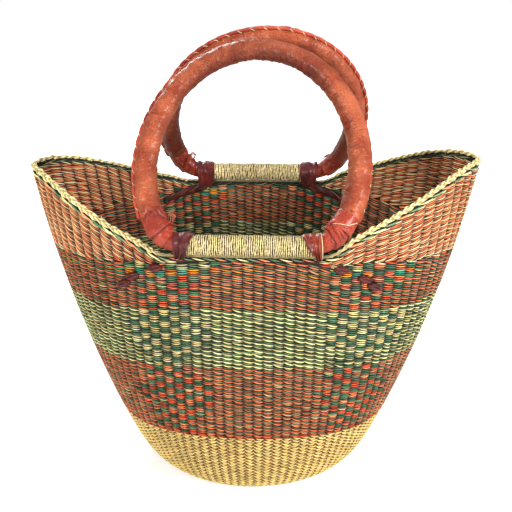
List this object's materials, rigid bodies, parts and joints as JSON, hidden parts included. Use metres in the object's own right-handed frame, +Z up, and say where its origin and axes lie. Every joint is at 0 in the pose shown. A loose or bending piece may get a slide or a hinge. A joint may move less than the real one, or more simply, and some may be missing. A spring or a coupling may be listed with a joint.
{
  "type": "bolga basket",
  "caption": "Twined straw market basket with two raised ears and two leather-covered hoop handles that swing on the rim.",
  "frame": {"origin": "centre of the flat underside of the base, on the surface that the basket stands on", "axes": "+Z up, +X towards the right ear as seen from the front, +Y from the front hoop towards the rear hoop"},
  "size_m": [0.4742, 0.2772, 0.4704],
  "materials": {
    "natural_straw": "twined straw",
    "red_green_straw": "twined straw",
    "green_natural_straw": "twined straw",
    "red_teal_straw": "twined straw",
    "orange_cream_straw": "twined straw",
    "green_twine_straw": "twined straw",
    "cream_border_straw": "plaited straw",
    "cane": "bent cane",
    "binding_straw": "wound straw",
    "coral_leather": "dyed and glossy",
    "red_welt_leather": "dyed",
    "wrap_leather": "dyed and glossy",
    "maroon_leather": "dyed",
    "stitch_leather": "dyed thong"
  },
  "bodies": {
    "basket": {"base_weave": "natural_straw", "lower_band": "red_green_straw", "middle_band": "green_natural_straw", "upper_band": "red_teal_straw", "left_wing": "orange_cream_straw", "right_wing": "orange_cream_straw", "rim_twine": "green_twine_straw", "rim_border": "cream_border_straw", "front_left_cuff": "maroon_leather", "front_left_strap": "stitch_leather", "front_left_stitch_1": "stitch_leather", "front_left_stitch_2": "stitch_leather", "front_left_stitch_3": "stitch_leather", "front_right_cuff": "maroon_leather", "front_right_strap": "stitch_leather", "front_right_stitch_1": "stitch_leather", "front_right_stitch_2": "stitch_leather", "front_right_stitch_3": "stitch_leather", "rear_left_cuff": "maroon_leather", "rear_left_strap": "stitch_leather", "rear_left_stitch_1": "stitch_leather", "rear_left_stitch_2": "stitch_leather", "rear_left_stitch_3": "stitch_leather", "rear_right_cuff": "maroon_leather", "rear_right_strap": "stitch_leather", "rear_right_stitch_1": "stitch_leather", "rear_right_stitch_2": "stitch_leather", "rear_right_stitch_3": "stitch_leather"},
    "front_handle": {"front_handle_core": "cane", "front_handle_sleeve": "coral_leather", "front_handle_welt": "red_welt_leather", "front_left_wrap": "wrap_leather", "front_right_wrap": "wrap_leather", "front_binding": "binding_straw"},
    "rear_handle": {"rear_handle_core": "cane", "rear_handle_sleeve": "coral_leather", "rear_handle_welt": "red_welt_leather", "rear_left_wrap": "wrap_leather", "rear_right_wrap": "wrap_leather", "rear_binding": "binding_straw"}
  },
  "joints": [
    {"name": "front_handle_swing", "type": "hinge", "parent": "basket", "child": "front_handle", "pos_m": [0, -0.12606, 0.28398], "axis": [1, 0, 0], "range_deg": [0, 126]},
    {"name": "rear_handle_swing", "type": "hinge", "parent": "basket", "child": "rear_handle", "pos_m": [0, 0.12606, 0.28398], "axis": [-1, 0, 0], "range_deg": [0, 121]}
  ]
}
